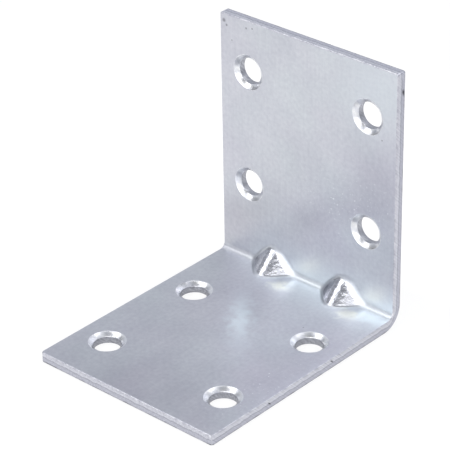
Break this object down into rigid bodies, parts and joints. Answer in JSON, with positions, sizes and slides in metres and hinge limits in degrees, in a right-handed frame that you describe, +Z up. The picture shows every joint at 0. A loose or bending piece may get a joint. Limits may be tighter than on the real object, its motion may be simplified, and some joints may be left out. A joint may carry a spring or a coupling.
{
  "type": "corner brace bracket",
  "caption": "Steel strip folded to a right angle, with countersunk screw holes in both legs and gussets pressed into the fold, for fixing a corner.",
  "frame": {"origin": "middle of the footprint, on the underside of the lower leg", "axes": "+X across the strip, +Y from the lower leg's free edge to the upright's outer face, +Z up along the upright"},
  "size_m": [0.04, 0.05, 0.05],
  "materials": {
    "zinc_plated_steel": "bright zinc plating with a bluish passivation, satin"
  },
  "bodies": {
    "root": {"bracket": "zinc_plated_steel"}
  },
  "joints": []
}
